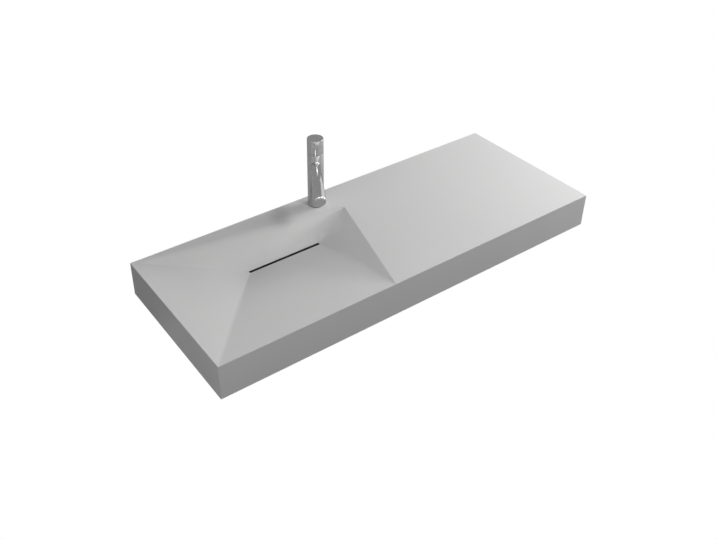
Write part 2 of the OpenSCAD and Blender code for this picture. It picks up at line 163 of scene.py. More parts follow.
class Socket:
    def __init__(self, graph, socket):
        self.graph, self.socket = graph, socket

    def maths(self, operation, *others, flip=False):
        values = [*others, self] if flip else [self, *others]
        return self.graph.node("ShaderNodeMath", {"operation": operation}, dict(enumerate(values)))

    __add__ = __radd__ = operator("ADD")
    __sub__ = operator("SUBTRACT")
    __rsub__ = operator("SUBTRACT", flip=True)
    __mul__ = __rmul__ = operator("MULTIPLY")
    __truediv__ = operator("DIVIDE")
    most = operator("MAXIMUM")
    size = operator("ABSOLUTE")

    def ramp(self, low, high, start=0.0, end=1.0):
        """Runs smoothly from start to end as the value goes from low to high."""
        return self.graph.node("ShaderNodeMapRange", {"interpolation_type": "SMOOTHSTEP"},
                               {"Value": self, "From Min": low, "From Max": high,
                                "To Min": start, "To Max": end})


# %% [markdown]
# `Graph` holds one node tree and has one method, `node`, that makes any node: settings first, then the values
# or links of its inputs. The other methods are short names for nodes that many finishes share.

# %% A class for node trees
class Graph:
    def __init__(self, tree):
        self.tree = tree
        tree.nodes.clear()

    def node(self, kind, settings=None, inputs=None, out=0):
        made = self.tree.nodes.new(kind)
        for name, value in (settings or {}).items():
            setattr(made, name, value)
        for name, value in (inputs or {}).items():
            if isinstance(value, Socket):
                self.tree.links.new(value.socket, made.inputs[name])
            else:
                made.inputs[name].default_value = value
        self.last = made
        return Socket(self, made.outputs[out]) if made.outputs else None

    def place(self):
        return self.node("ShaderNodeTexCoord", out="Object")

    def noise(self, scale, detail=2.0, rough=0.5, where=None):
        return self.node("ShaderNodeTexNoise", {}, {"Vector": where or self.place(), "Scale": scale,
                                                    "Detail": detail, "Roughness": rough})

    def tint(self, factor, one, two):
        """A colour between two colours; a Mix node keeps it a colour."""
        one, two = (c if isinstance(c, Socket) else (*c, 1) for c in (one, two))
        return self.node("ShaderNodeMix", {"data_type": "RGBA"}, {0: factor, 6: one, 7: two}, out=2)

    def axes(self, vector):
        """The three parts of a vector."""
        self.node("ShaderNodeSeparateXYZ", {}, {"Vector": vector})
        return [Socket(self, part) for part in self.last.outputs]

    def bump(self, height, distance, strength=1.0):
        return self.node("ShaderNodeBump", {}, {"Height": height, "Distance": distance, "Strength": strength})


# %% [markdown]
# Two functions build on it. `seen_rays` tells the rays that show the background from those that light the
# object. `surface` makes a material: a function paints what varies over the surface, and the other values
# are fixed.

# %% Rays and materials
def seen_rays(graph):
    """One for the rays that show the background, straight to the camera or by way of metal or glass."""
    graph.node("ShaderNodeLightPath")
    direct, glossy, through = (Socket(graph, graph.last.outputs[f"Is {kind} Ray"])
                               for kind in ("Camera", "Glossy", "Transmission"))
    return direct.most(glossy).most(through)


def surface(name, paint, **fixed):
    """A material: paint returns what varies over the surface, and fixed holds what doesn't."""
    material = bpy.data.materials.new(name)
    material.use_nodes = True
    graph = Graph(material.node_tree)
    varied = paint(graph)
    inputs = {**{k.replace("_", " "): v for k, v in fixed.items()}, **varied}
    shader = graph.node("ShaderNodeBsdfPrincipled", {}, inputs)
    graph.node("ShaderNodeOutputMaterial", {}, {"Surface": shader})
    print("material", name, "with", len(graph.tree.nodes), "nodes")
    return material


# %% [markdown]
# ## Light
#
# The photograph is a studio cut-out. Low lamps far to the right light the slopes of the bowl and lay the
# mixer's long shadow to the left. Weaker ones stand in front and at the left, and pale screens at the left
# and behind fill the rest. The screens are bands of the world, whose brightness depends on the direction
# alone. The strengths were fitted to the grey levels of the slab: each lamp and band was rendered alone, and
# a sum of these pictures that comes nearest to the photograph gave the powers. The camera, and what metal
# reflects, see a plain white background instead.

# %% World
world = bpy.data.worlds.new("studio")
world.use_nodes = True
bpy.context.scene.world = world
g = Graph(world.node_tree)
x, y, z = g.axes(g.node("ShaderNodeTexCoord", out="Generated"))
left = (0.0 - x - y.size()).ramp(-0.35, 0.35)
back = (y - x.size()).ramp(-0.35, 0.35)
low_band = z.ramp(-0.06, 0.10) * z.ramp(0.27, 0.43, 1.0, 0.0)
high_band = z.ramp(0.27, 0.43) * z.ramp(0.67, 0.83, 1.0, 0.0)
fill = low_band * 1.45 * back + high_band * (0.19 * left + 0.30 * back)
soft = g.node("ShaderNodeBackground", {}, {"Color": (1, 1, 1, 1), "Strength": fill})
plain = g.node("ShaderNodeBackground", {}, {"Color": (1, 1, 1, 1), "Strength": 1.0})
either = g.node("ShaderNodeMixShader", {}, {0: seen_rays(g), 1: soft, 2: plain})
g.node("ShaderNodeOutputWorld", {}, {"Surface": either})
print("world with", len(g.tree.nodes), "nodes")


# %% [markdown]
# The lamps are rectangles that look at the slab from a direction, so a table of directions and powers is
# enough. A larger rectangle gives a softer shadow at the same power. The last lamp is narrow and weak: it
# adds next to no light and only draws the glint on the spout. It stands where the spout mirrors it to the
# camera.

# %% Lamps
def lamp(name, azimuth, elevation, power, size, distance=2.2, target=Vector((0, -0.2, DECK))):
    """An area lamp that looks at the slab; azimuth 0 is at the right end and 90 is in front."""
    a, e = math.radians(-azimuth), math.radians(elevation)
    way = Vector((math.cos(a) * math.cos(e), math.sin(a) * math.cos(e), math.sin(e)))
    light = bpy.data.lights.new(name, "AREA")
    light.shape, light.size, light.size_y, light.energy = "RECTANGLE", *size, power
    thing = bpy.data.objects.new(name, light)
    bpy.context.scene.collection.objects.link(thing)
    thing.location = target + way * distance
    thing.rotation_mode = "QUATERNION"
    thing.rotation_quaternion = (-way).to_track_quat("-Z", "Y")
    print("lamp", name, [round(v, 2) for v in thing.location], power, "W")


SCREEN, WIDE_SCREEN = (0.45, 0.35), (1.0, 0.8)
for name, azimuth, elevation, power, size in (
        ("key", 4, 12, 10.3, SCREEN), ("key_rear", -8, 12, 1.9, SCREEN), ("key_wide", 25, 12, 11.0, SCREEN),
        ("key_high", 0, 25, 4.2, SCREEN), ("key_top", -3, 45, 8.1, WIDE_SCREEN),
        ("front", 75, 45, 8.6, SCREEN), ("left", 135, 25, 5.0, SCREEN),
        ("left_top", 135, 45, 3.7, WIDE_SCREEN)):
    lamp(name, azimuth, elevation, power, size)
GLINT_SIZE, SPOUT_ROOT = (0.08, 0.5), Vector((-0.056, -0.046, DECK + 0.15))
lamp("glint", -20.8, 18, 0.6, GLINT_SIZE, target=SPOUT_ROOT)

# %% [markdown]
# The floor is white to the camera and to what metal reflects, and nearly black to all other rays, so that it
# adds no light. From below it is clear, so that the underside can be looked at. The basin hangs on a wall; a
# grey card stands in for it behind the mixer, and only polished metal sees it.

# %% Floor and card
CARD_GREY = (0.41, 0.41, 0.41, 1)


def studio_sheet(name, corners, shade):
    """A flat sheet of the studio, which is no part of the object; shade makes its shader in a graph."""
    material = bpy.data.materials.new(name)
    material.use_nodes = True
    graph = Graph(material.node_tree)
    graph.node("ShaderNodeOutputMaterial", {}, {"Surface": shade(graph)})
    mesh = bpy.data.meshes.new(name)
    mesh.from_pydata(corners, [], [(0, 1, 2, 3)])
    mesh.materials.append(material)
    thing = bpy.data.objects.new(name, mesh)
    bpy.context.scene.collection.objects.link(thing)
    thing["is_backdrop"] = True
    print("studio sheet", name, [[round(v, 2) for v in corners[i]] for i in (0, 2)])
    return thing


def floor_shade(g):
    matt = g.node("ShaderNodeBsdfDiffuse", {}, {"Color": (0.03, 0.03, 0.03, 1)})
    white = g.node("ShaderNodeEmission", {}, {"Color": (1, 1, 1, 1), "Strength": 1.0})
    from_above = g.node("ShaderNodeMixShader", {}, {0: seen_rays(g), 1: matt, 2: white})
    clear = g.node("ShaderNodeBsdfTransparent")
    below = g.node("ShaderNodeNewGeometry", out="Backfacing")
    return g.node("ShaderNodeMixShader", {}, {0: below, 1: from_above, 2: clear})


def card_shade(g):
    return g.node("ShaderNodeEmission", {}, {"Color": CARD_GREY})


AROUND = ((0, 0), (1, 0), (1, 1), (0, 1))
FLOOR_SIDES, FLOOR_Z = (-4, 4), SLAB_FOOT - 0.8
CARD_SIDES, CARD_HEIGHTS, CARD_Y = (-1.5, 0.31), (-0.2, 1.5), BACK + 0.03
studio_sheet("floor", [(FLOOR_SIDES[i], FLOOR_SIDES[j], FLOOR_Z) for i, j in AROUND], floor_shade)
card = studio_sheet("wall_card", [(CARD_SIDES[i], CARD_Y, CARD_HEIGHTS[j]) for i, j in AROUND], card_shade)
card.visible_camera = card.visible_diffuse = card.visible_shadow = card.visible_transmission = False


# %% [markdown]
# ## Finishes
#
# Solid surface is a mineral-filled resin: matt, almost white, sanded to an even silk. It has no pattern that
# one can name, but a faint cloudiness, a fine grain and a few softer patches where hands wipe it. A picture
# could be wrapped round the slab, but noise in the object's own space has no seams. The slot at the bottom of
# the bowl lies in deep shade, and this shade is painted: the finish turns near black inside the slot.

# %% Solid surface
def solid_surface(g):
    cloud, grain = g.noise(4.0, 3.0), g.noise(900.0, 2.0)
    wiped = g.noise(9.0, 4.0, 0.6)
    tone = 0.6 * cloud + 0.4 * grain
    stone = g.tint(tone.ramp(0.25, 0.75), (0.835, 0.835, 0.832), (0.865, 0.865, 0.861))
    x, y, z = g.axes(g.place())
    # Painted shade: inside the slot, below its lips, the colour turns near black, standing in for the deep
    # shade there.
    painted_slot_shade = (z - LIP).ramp(-0.0003, 0.0001, 1.0, 0.0) * (y - SLOT_MIDDLE.y).size().ramp(0.009, 0.011, 1.0, 0.0)
    painted_slot_shade = painted_slot_shade * (x - SLOT_MIDDLE.x).size().ramp(0.115, 0.118, 1.0, 0.0)
    return {"Base Color": g.tint(painted_slot_shade, stone, (0.02, 0.02, 0.02)),
            "Roughness": 0.44 + 0.10 * wiped.ramp(0.3, 0.7),
            "Normal": g.bump(g.noise(1600.0, 3.0, 0.6), 0.00001, 0.3)}


# %% [markdown]
# The metals are simple: their look is what they reflect, so they get small changes of roughness and a light
# bump. Zinc on steel has a spangle of crystals, which a Voronoi pattern gives. Turned brass has fine rings: a
# noise that changes quickly along the axis and hardly across it.

# %% Metals
def polished_chrome(g):
    smudge = g.noise(60.0, 4.0, 0.6)
    water = g.noise(350.0, 2.0)
    return {"Base Color": g.tint(smudge.ramp(0.35, 0.7), (0.58, 0.58, 0.585), (0.53, 0.53, 0.535)),
            "Roughness": 0.075 + 0.03 * smudge.ramp(0.45, 0.75),
            "Normal": g.bump(water, 0.000004, 0.4)}


def zinc_steel(g):
    spangle = g.node("ShaderNodeTexVoronoi", {}, {"Vector": g.place(), "Scale": 180.0}, out="Distance")
    return {"Base Color": g.tint(spangle.ramp(0.0, 0.6), (0.42, 0.44, 0.46), (0.58, 0.60, 0.62)),
            "Roughness": 0.32 + 0.16 * g.noise(120.0, 4.0).ramp(0.3, 0.7),
            "Normal": g.bump(g.noise(700.0, 3.0), 0.00002, 0.4)}


def turned_brass(g):
    stretched = g.node("ShaderNodeMapping", {}, {"Vector": g.place(), "Scale": (0.05, 0.05, 1)})
    lines = g.noise(420.0, 3.0, 0.6, stretched)
    dull = g.noise(40.0, 4.0)
    return {"Base Color": g.tint(dull.ramp(0.3, 0.7), (0.62, 0.43, 0.16), (0.48, 0.32, 0.13)),
            "Roughness": 0.22 + 0.2 * dull.ramp(0.4, 0.7),
            "Normal": g.bump(lines, 0.00002, 0.5)}


# %% [markdown]
# Black rubber has a dull, grey bloom, and moulded plastic shows faint marks of its flow in the mould. Both
# need no pattern of their own, so noise alone makes them.

# %% Rubber and plastic
def black_rubber(g):
    bloom = g.noise(90.0, 5.0, 0.65)
    return {"Base Color": g.tint(bloom.ramp(0.35, 0.75), (0.016, 0.016, 0.017), (0.045, 0.045, 0.047)),
            "Roughness": 0.55 + 0.25 * bloom, "Normal": g.bump(g.noise(1400.0, 2.0), 0.00003, 0.5)}


def moulded_plastic(g):
    flow = g.noise(50.0, 3.0)
    return {"Base Color": g.tint(flow.ramp(0.3, 0.7), (0.70, 0.71, 0.72), (0.63, 0.64, 0.66)),
            "Roughness": 0.34 + 0.12 * flow, "Normal": g.bump(g.noise(1100.0, 2.0), 0.00002, 0.4)}


# %% [markdown]
# The record of the construction names a slot for each node, and this table names the finish of each slot.
# The nodes come with a plain colour, which is taken off first.

# %% Table of finishes
FINISH = {
    "slab": surface("solid_surface", solid_surface, Specular_IOR_Level=0.2),
    "chrome": surface("polished_chrome", polished_chrome, Metallic=1.0, Specular_Tint=(0.8, 0.8, 0.8, 1)),
    "steel": surface("zinc_steel", zinc_steel, Metallic=1.0),
    "brass": surface("turned_brass", turned_brass, Metallic=1.0),
    "rubber": surface("black_rubber", black_rubber),
    "white_plastic": surface("moulded_plastic", moulded_plastic),
}
for part in frame["record"]["subparts"]:
    data = nodes[part["node"]].data
    data.materials.clear()
    data.materials.append(FINISH[part["material_slot"]])
print("finished", len(nodes), "CAD nodes")


# %% [markdown]
# ## Helpers for meshes
#
# Some small helpers serve all pieces. `piece` makes an object from a finished mesh, `settle` turns its live
# modifiers into a plain mesh, and `cut` takes one solid away from another with an exact boolean.

# %% Pieces and cuts
def piece(name, mesh_or_bmesh, slot_name):
    if isinstance(mesh_or_bmesh, bmesh.types.BMesh):
        mesh = bpy.data.meshes.new(name)
        mesh_or_bmesh.to_mesh(mesh)
        mesh_or_bmesh.free()
    else:
        mesh = mesh_or_bmesh
    mesh.materials.clear()
    mesh.materials.append(FINISH[slot_name])
    thing = bpy.data.objects.new(name, mesh)
    bpy.context.scene.collection.objects.link(thing)
    return thing


def settle(thing, angle=38):
    """Applies the modifiers, smooths the faces and keeps edges sharper than the angle sharp."""
    graph = bpy.context.evaluated_depsgraph_get()
    mesh = bpy.data.meshes.new_from_object(thing.evaluated_get(graph))
    thing.modifiers.clear()
    thing.data = mesh
    mesh.shade_smooth()
    mesh.set_sharp_from_angle(angle=math.radians(angle))
    return thing


def cut(thing, cutters, operation="DIFFERENCE"):
    for i, cutter in enumerate(cutters):
        mod = thing.modifiers.new(f"cut{i}", "BOOLEAN")
        mod.operation, mod.solver, mod.object = operation, "EXACT", cutter
    settle(thing)
    for cutter in cutters:
        bpy.data.objects.remove(cutter)
    return thing


# %% [markdown]
# A finished piece moves with a body, and the CAD nodes that it replaces are hidden. The slot of each node is
# read from the record into a table, which some pieces use for their finish.

# %% Pieces that replace CAD nodes
slots = {part["node"]: part["material_slot"] for part in frame["record"]["subparts"]}


def stands_for(thing, *names, body="basin"):
    """Puts a finished piece in its body and hides the CAD nodes that it replaces."""
    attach(thing, body)
    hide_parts(*names)


print("material slots:", sorted(set(slots.values())))


# %% [markdown]
# Nearly all pieces start as a block or as a turned solid. `lathe` turns a profile round an axis, as a lathe
# does. A Screw modifier could do that, but a solid that is made point by point can also carry a thread.
# `arc` rounds a corner of a profile, `rod` is the profile of a plain cylinder, and `tool` is a turned solid
# that only cuts.

# %% Blocks and turned solids
def block(low, high):
    bm = bmesh.new()
    bmesh.ops.create_cube(bm, size=1.0)
    low, high = Vector(low), Vector(high)
    for v in bm.verts:
        v.co = Vector(((low[i] + high[i]) / 2 + v.co[i] * (high[i] - low[i])) for i in range(3))
    return piece("block", bm, "slab")


def lathe(profile, origin=Vector(), turn=Matrix.Identity(3), steps=128, closed=False, rule=None):
    """Turns (radius, height) pairs round +Z, then turns and moves the solid.

    The profile starts and ends on the axis, or is closed and makes a ring. A rule can change the radius at a
    height and an angle, for instance to sink a thread.
    """
    bm = bmesh.new()
    rings = []
    for r, h in profile:
        if r < 1e-7:
            rings.append([bm.verts.new(origin + turn @ Vector((0, 0, h)))])
        else:
            ring = []
            for a in (2 * math.pi * k / steps for k in range(steps)):
                here = rule(r, h, a) if rule else r
                ring.append(bm.verts.new(origin + turn @ Vector((here * math.cos(a), here * math.sin(a), h))))
            rings.append(ring)
    for one, two in zip(rings, rings[1:] + (rings[:1] if closed else [])):
        for k in range(steps):
            n = (k + 1) % steps
            quad = [one[k % len(one)], one[n % len(one)], two[n % len(two)], two[k % len(two)]]
            quad = [v for i, v in enumerate(quad) if v not in quad[:i]]
            bm.faces.new(quad)
    bmesh.ops.recalc_face_normals(bm, faces=bm.faces)
    return bm


def arc(centre, radius, start, end, steps=5):
    """Points of a quarter or other arc, as (radius, height) pairs; angles in degrees."""
    return [(centre[0] + radius * math.cos(math.radians(a)), centre[1] + radius * math.sin(math.radians(a)))
            for a in np.linspace(start, end, steps)]


def rod(radius, low, high):
    return [(0, low), (radius, low), (radius, high), (0, high)]


def tool(profile, *where, **more):
    return piece("tool", lathe(profile, *where, **more), "slab")


def upright(low, high):
    """The foot of the upright axis through the middle of a box."""
    return Vector(((low.x + high.x) / 2, (low.y + high.y) / 2, 0))


# %% [markdown]
# ## The slab and its folded bowl
#
# On the real basin the deck, the bowl and the aprons are one seamless body. The four slopes run from the rim
# to the slot; the slope at the back is a twisted surface, because its upper edge runs aslant and its lower
# edge runs along the wall. The valleys are sharp where they start at the deck and open into soft hollows.
#
# The bowl could be sculpted, but its shape follows a rule, so it is lofted: each level is a loop through
# four corners, and near a corner the loop is a parabola that touches both sides. Level by level the loops
# shrink from the rim to the slot.

# %% Loops of the bowl
# How far a valley's curve reaches from its corner, at the rim, half way down and at the slot
VALLEY = [(0.0, 0.010, 0.0030), (0.0, 0.075, 0.0080), (0.0, 0.035, 0.0060), (0.0, 0.010, 0.0030)]
# Points along the back, right, front and left side of a loop
STEPS = [56, 30, 52, 30]
# How much of the points' spacing is even; the rest crowds them towards both ends of a side
EVEN = 0.4


def spread(k, steps):
    """The share of a side at point k."""
    return (1 - EVEN) * 0.5 * (1 - math.cos(math.pi * k / steps)) + EVEN * k / steps


def corner(i, share):
    flat = RIM[i % 4].lerp(LIPS[i % 4], share)
    return Vector((flat.x, flat.y, DECK - BOWL_DEPTH * share))


def reach(i, share):
    return np.interp(share, [0, 0.5, 1], VALLEY[i % 4])


def bend(here, one, other, size, along):
    """A point near a corner, on the parabola that touches both sides at the distance size."""
    toward, away = (one - here).normalized(), (other - here).normalized()
    return here + toward * (size - along) ** 2 / (4 * size) + away * (size + along) ** 2 / (4 * size)


def loop(share):
    """The points of one level, side after side."""
    corners = [corner(i, share) for i in range(4)]
    lengths = [(corners[(i + 1) % 4] - corners[i]).length for i in range(4)]
    sizes = [min(reach(i, share), 0.45 * lengths[i], 0.45 * lengths[i - 1]) for i in range(4)]
    points = []
    for i in range(4):
        before, here, there, after = (corners[(i + n) % 4] for n in (-1, 0, 1, 2))
        for k in range(STEPS[i]):
            along = lengths[i] * spread(k, STEPS[i])
            left_over = lengths[i] - along
            if along < sizes[i]:
                points.append(bend(here, before, there, sizes[i], along))
            elif left_over < sizes[(i + 1) % 4]:
                points.append(bend(there, after, here, sizes[(i + 1) % 4], left_over))
            else:
                points.append(here.lerp(there, along / lengths[i]))
    return points


# %% [markdown]
# At the back the deck rolls into the slope without an edge. A bevel could round the rim, but its width would
# be the same all along. Here the roll is a parabola from the deck to the slope, a little way to both sides of
# the rim, which dies out at both ends.

# %% Roll and levels
# How far the roll reaches to both sides of the rim, as a share of the back slope
ROLL = 0.18
# The shares of the back side over which the roll grows at its left end and dies out at its right end
ROLL_IN, ROLL_OUT = 0.25, 0.06


def roll(t):
    """How far the deck's roll reaches at a share t of the back side: nothing at its two ends."""
    return ROLL * min(1.0, t / ROLL_IN) * min(1.0, (1 - t) / ROLL_OUT)


def sunk(level, width):
    """The depth at a level of the back slope; the roll is a parabola from the deck into the slope."""
    if abs(level) < width:
        return BOWL_DEPTH * (level + width) ** 2 / (4 * width)
    return BOWL_DEPTH * max(level, 0)


LEVELS = [0, 0.012, 0.03, 0.055, 0.085, 0.12, 0.16, 0.21, 0.27, 0.34, 0.42, 0.5, 0.58, 0.66, 0.74, 0.81, 0.87,
          0.92, 0.96, 0.985, 1.0]
loops = [loop(level) for level in LEVELS]
back_shares = [spread(k, STEPS[0]) for k in range(STEPS[0] + 1)]
for row, level in zip(loops, LEVELS):
    for k in range(1, STEPS[0]):
        row[k].z = DECK - sunk(level, roll(back_shares[k]))
print(len(loops), "levels of", len(loops[0]), "points")

# %% [markdown]
# The body is built row by row from these loops: down to the slot, out to the rolled deck, and round the
# aprons. A grid of quads keeps the slopes smooth, where one large face cut by a boolean would lose its
# shading.

# %% The slab's body
# How far the slot's walls go on below the floor, so that the cut from below opens it
SHAFT = 0.008
bm = bmesh.new()


def strip(one, two, closed=False):
    """Faces between two rows of vertices; where the rows share a vertex, the face is a triangle."""
    for k in range(len(one) if closed else len(one) - 1):
        n = (k + 1) % len(one)
        corners = [one[k], two[k], two[n], one[n]]
        corners = [v for i, v in enumerate(corners) if v not in corners[:i]]
        if len(corners) > 2:
            bm.faces.new(corners)


def vertex(x, y, z):
    return bm.verts.new((x, y, z))


rows = [[bm.verts.new(p) for p in row] for row in loops]
rows.append([vertex(v.co.x, v.co.y, FLOOR - SHAFT) for v in rows[-1]])
for one, two in zip(rows, rows[1:]):
    strip(one, two, closed=True)
bm.faces.new(rows[-1])

rim = rows[0]
turns = [sum(STEPS[:i]) for i in range(5)]
back_rim, ridge, front_rim = (rim[turns[i]:turns[i + 1] + 1] for i in range(3))
left_rim = rim[turns[3]:] + [rim[0]]
outward = [back_rim]
for part in (0.25, 0.5, 0.75, 1.0):
    row = [back_rim[0]]
    for k in range(1, STEPS[0]):
        t = back_shares[k]
        level = -roll(t) * part
        spot = RIM[0].lerp(RIM[1], t).lerp(LIPS[0].lerp(LIPS[1], t), level)
        row.append(vertex(spot.x, spot.y, DECK - sunk(level, roll(t))))
    outward.append(row + [back_rim[-1]])
for one, two in zip(outward, outward[1:]):
    strip(one, two)
wall_edge = [back_rim[0]] + [vertex(LEFT + (RIM[1].x - LEFT) * t, BACK, DECK) for t in back_shares[1:]]
strip(outward[-1], wall_edge)

back_right, front_right = vertex(RIGHT, BACK, DECK), vertex(RIGHT, FRONT, DECK)
feet = [vertex(x, y, SLAB_FOOT) for x, y in ((LEFT, BACK), (RIGHT, BACK), (RIGHT, FRONT), (LEFT, FRONT))]
for outline in ([wall_edge[-1], *ridge, front_right, back_right], [*left_rim, feet[0], feet[3]],
                [front_right, *front_rim, feet[3], feet[2]], [back_right, front_right, feet[2], feet[1]],
                [*wall_edge, back_right, feet[1], feet[0]], feet):
    bm.faces.new(outline)
bmesh.ops.recalc_face_normals(bm, faces=bm.faces)
print("body:", len(bm.verts), "vertices; closed:", all(e.is_manifold for e in bm.edges))

# %% [markdown]
# The real shell is about 12 mm thick. Its other edges are rounded first, by a small bevel, while they are
# clean. Then one solid is taken away from below, which is a block less the hull of the bowl, and after it the
# notches for the brackets and the tap hole. The construction has five separate panels, and this one body
# replaces them all.

# %% Round the edges and hollow the slab
SLAB_EDGE, SHARP, NOTCH_ROOM, TAP_HOLE_R = 0.0011, math.radians(50), 0.002, 0.0175
# How far a cutter goes past the faces that it opens
OVERRUN = 0.01
edges = []
for edge in bm.edges:
    on_ridge = all(v in ridge for v in edge.verts)
    inside = all(v.co.z < LIP + 0.001 and v.co.z > SLAB_FOOT + 0.001 for v in edge.verts)
    if on_ridge or (edge.calc_face_angle(0) > SHARP and not inside):
        edges.append(edge)
bmesh.ops.bevel(bm, geom=edges, offset=SLAB_EDGE, segments=3, profile=0.5, affect="EDGES",
                clamp_overlap=False)
print("rounded", len(edges), "edges")
body = piece("slab_body", bm, "slab")

hull = bmesh.new()
for p, z in [(RIM[0], DECK - SHEET / 2), (RIM[1] + Vector((SHEET, SHEET, 0)), DECK - SHEET / 2),
             (RIM[2] + Vector((SHEET, 0, 0)), DECK - SHEET / 2), (RIM[3], DECK - SHEET / 2)]:
    hull.verts.new((p.x, p.y, z))
    hull.verts.new((p.x, p.y, DECK - SHEET))
for x in (LIPS[0].x - SHEET, LIPS[1].x + SHEET):
    for y in (LIPS[2].y - SHEET, LIPS[1].y + SHEET):
        hull.verts.new((x, y, FLOOR))
bmesh.ops.convex_hull(hull, input=hull.verts)
underside = piece("underside", hull, "slab")
hollow = block((LEFT + SHEET, FRONT + SHEET, SLAB_FOOT - OVERRUN),
               (RIGHT - SHEET, BACK - SHEET, DECK - SHEET))
cut(hollow, [underside])

notches = []
for side in ("left_bracket", "right_bracket"):
    low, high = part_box(side)
    notches.append(block((low.x - NOTCH_ROOM, BACK - SHEET - NOTCH_ROOM, SLAB_FOOT - OVERRUN),
                         (high.x + NOTCH_ROOM, BACK + OVERRUN, high.z + NOTCH_ROOM)))
MIXER = upright(*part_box("base_gasket"))
tap_hole = tool(rod(TAP_HOLE_R, DECK - SHEET - OVERRUN, DECK + OVERRUN), MIXER)
cut(body, [hollow, *notches, tap_hole])
weigh = body.modifiers.new("weigh", "WEIGHTED_NORMAL")
weigh.keep_sharp, weigh.weight = True, 50
stands_for(body, "top_panel", "front_apron", "left_apron", "right_apron", "rear_rail")
print("slab body:", len(body.data.polygons), "faces")


# %% [markdown]
# ## The mixer's column, spout and handle
#
# The column is a bar of 45 mm, turned and plated. The spout leaves it towards the bowl and falls a little,
# so that it drains. The handle is a cap of the same diameter, and only a fine gap shows where it turns. All
# three are turned shapes, so they come from the lathe helper; the spout is then cut to the column's saddle,
# and the cap is drilled at the back for its grub screw. The ways of the water inside them, which nothing
# shows, stay in the construction alone.

# %% Column and handle
column_low, column_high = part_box("mixer_column")
cap_low, cap_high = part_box("handle_cap")
R = (column_high.x - column_low.x) / 2
# Radii of the rounded edges: fine ones at the seam, a soft one on the cap, and the foot's
EDGE, CAP_EDGE, FOOT_EDGE = 0.0004, 0.0008, 0.0006
# Radius and depth of the seats of the cartridge's nut and the cartridge, from the column's top
NUT_SEAT, NUT_DEPTH, CARTRIDGE_SEAT, CHAMBER_DEPTH = 0.0196, 0.009, 0.0176, 0.033
CAP_BORE, CAP_ROOF = 0.0195, 0.006
top = column_high.z
profile = [(0, column_low.z), (R - 0.001, column_low.z),
           *arc((R - FOOT_EDGE, column_low.z + 0.0011), FOOT_EDGE, -60, 0),
           *arc((R - EDGE, top - EDGE), EDGE, 0, 90), (NUT_SEAT, top), (NUT_SEAT, top - NUT_DEPTH),
           (CARTRIDGE_SEAT, top - NUT_DEPTH), (CARTRIDGE_SEAT, top - CHAMBER_DEPTH), (0, top - CHAMBER_DEPTH)]
column = piece("mixer_pillar", lathe(profile, MIXER), "chrome")

top = cap_high.z
profile = [(0, top - CAP_ROOF), (CAP_BORE, top - CAP_ROOF), (CAP_BORE, cap_low.z),
           *arc((R - EDGE, cap_low.z + EDGE), EDGE, -90, 0),
           *arc((R - CAP_EDGE, top - CAP_EDGE), CAP_EDGE, 0, 90, 9), (0, top)]
cap = piece("turning_cap", lathe(profile, MIXER), "chrome")
print("column and cap of radius", round(R, 4))

# %% [markdown]
# The spout is a slim cone that grows towards its tip and leaves the column at 30 degrees from the wall's
# normal. It could be swept along a path, but it is straight, so the lathe makes it on its own axis. A
# cylinder the size of the column cuts its root, and the aerator's socket is drilled from below.

# %% Spout
SPOUT_RISE, SPOUT_TURN, SPOUT_FALL, SPOUT_REACH = 0.140, 30.5, 7.5, 0.175
ROOT_R, TIP_R, TIP_EDGE = 0.011, 0.0165, 0.004
SOCKET_R, GRUB_HOLE_R = 0.0121, 0.0026
aim = Matrix.Rotation(math.radians(-SPOUT_TURN), 3, "Z")
aim @= Matrix.Rotation(math.radians(90 + SPOUT_FALL), 3, "X")
profile = [(0, 0), (ROOT_R, 0), *arc((TIP_R - TIP_EDGE, SPOUT_REACH - TIP_EDGE), TIP_EDGE, 0, 90, 9),
           (0, SPOUT_REACH)]
spout = piece("spout_arm", lathe(profile, MIXER + Vector((0, 0, DECK + SPOUT_RISE)), aim), "chrome")
saddle = tool(rod(R, column_low.z, column_high.z), MIXER)
low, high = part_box("aerator_housing")
socket = tool(rod(SOCKET_R, low.z - 0.002, high.z + 0.0001), upright(low, high))
cut(spout, [saddle, socket])
stands_for(settle(column), "mixer_column")
stands_for(settle(spout), "spout")
low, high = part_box("handle_screw")
drill = tool(rod(GRUB_HOLE_R, 0.01, 0.03), MIXER + Vector((0, 0, (low.z + high.z) / 2)),
             Matrix.Rotation(math.radians(-90), 3, "X"), steps=32)
stands_for(cut(cap, [drill]), "handle_cap", body="handle")
print("mixer:", [len(o.data.polygons) for o in (column, spout, cap)])

# %% [markdown]
# ## Threads, nuts and the waste
#
# The waste clamps on the trough with a nut, and the mixer on the deck with a stud and a nut. They are seen
# from below only. A thread is a rule for the lathe: the radius sinks by a triangle wave of height and angle,
# so the groove climbs one pitch in each turn and runs out at both ends. A nut is a prism of six sides whose
# corners are turned off: the part that a six-sided and a round solid share.

# %% Threads and nuts
# Pitch and depth of the threads of the waste, the stud and the bracket screws
G_THREAD, M8_THREAD, M6_THREAD = (0.0023, 0.0011), (0.00125, 0.00075), (0.001, 0.0006)


def thread(radius, low, high, kind):
    """A rule for the lathe that sinks a screw thread into a cylinder between two heights."""
    pitch, depth = kind

    def rule(r, h, angle):
        if r < radius - 1e-6 or not low < h < high:
            return r
        phase = ((h - low) / pitch - angle / (2 * math.pi)) % 1.0
        return r - depth * min(1.0, (h - low) / pitch, (high - h) / pitch) * (1 - abs(2 * phase - 1))

    return rule


def close_points(radius, low, high, kind):
    """Points of a profile, eight to a pitch, which is close enough to carry a thread."""
    return [(radius, h) for h in np.linspace(low, high, round((high - low) / kind[0] * 8) + 1)]


